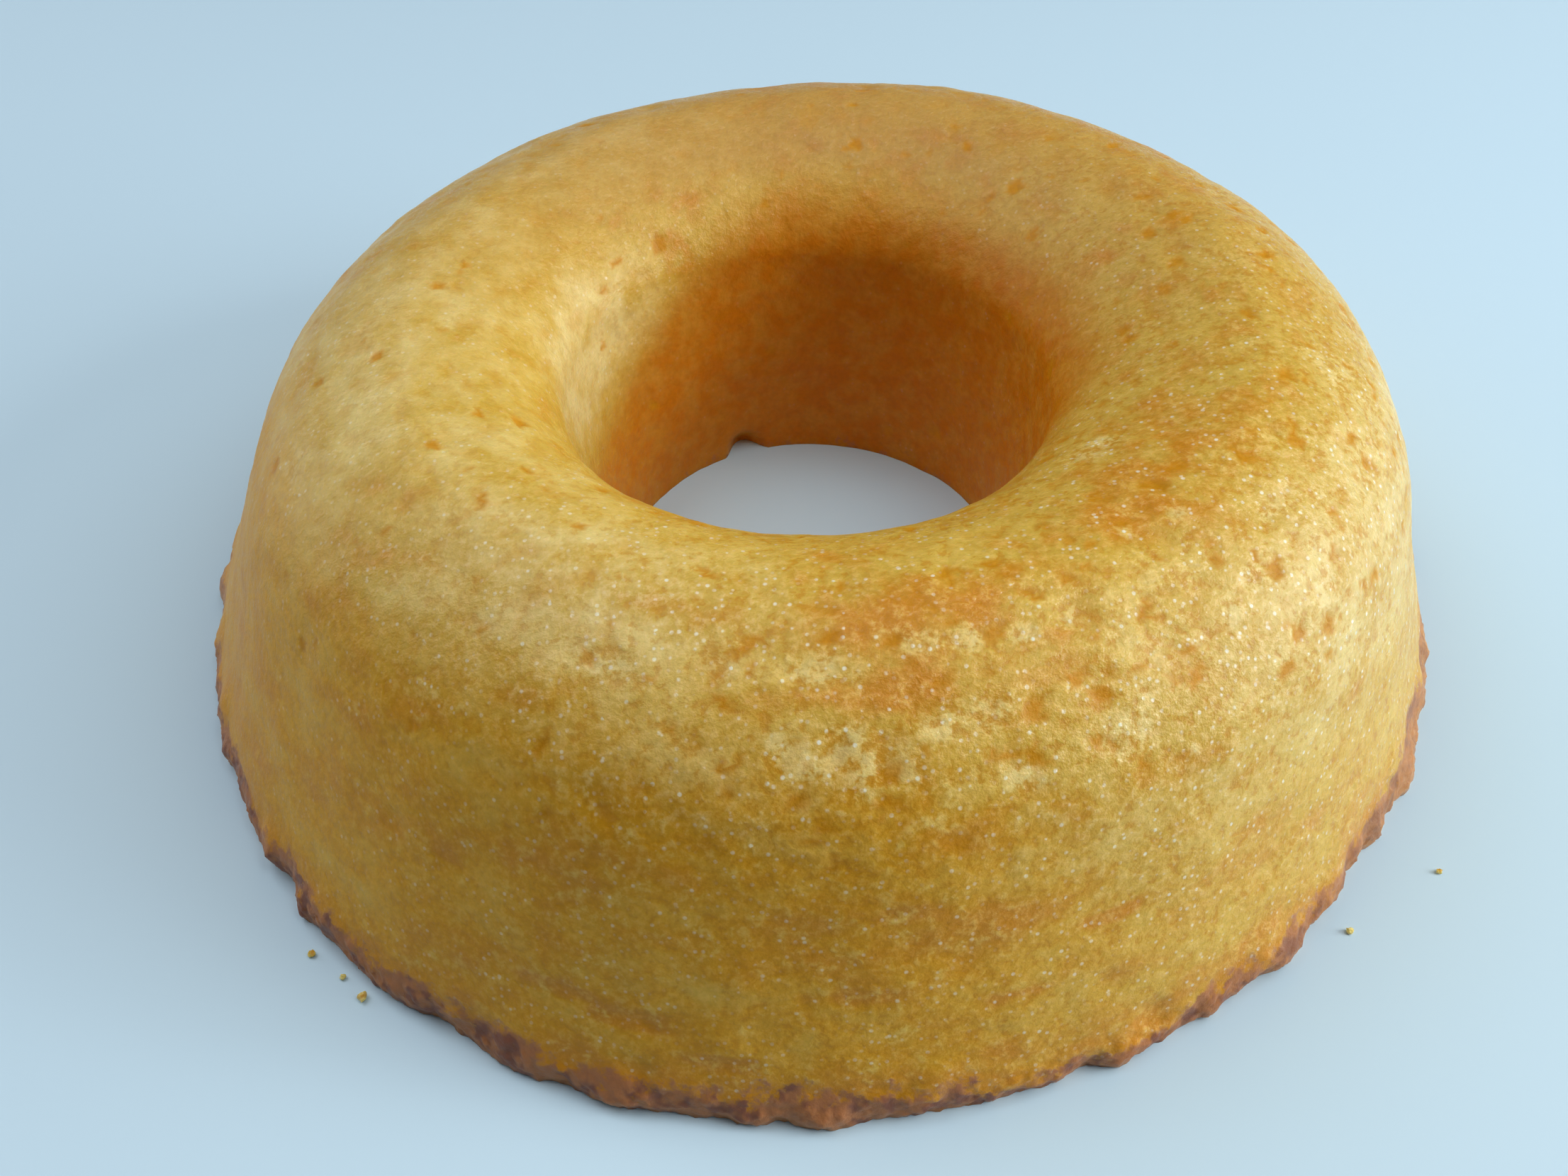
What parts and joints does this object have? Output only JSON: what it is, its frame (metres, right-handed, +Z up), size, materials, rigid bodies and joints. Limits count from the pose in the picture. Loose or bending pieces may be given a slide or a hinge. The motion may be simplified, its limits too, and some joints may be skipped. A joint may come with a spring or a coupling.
{
  "type": "cassava ring cake",
  "caption": "Ring-shaped cassava cake with a rounded top, sloping wall, central hole and a thin browned rim at its flat base.",
  "frame": {"origin": "middle of the base's outline, on the surface that the cake rests on", "axes": "+Z up through the hole, towards the rounded crown; +Y away from the side that the picture shows; +X to the right of it"},
  "size_m": [0.192, 0.1895, 0.0514],
  "materials": {
    "crumb": "moist golden-yellow crumb with an orange-brown baked skin, browned at the base"
  },
  "bodies": {
    "root": {"cake": "crumb"}
  },
  "joints": []
}
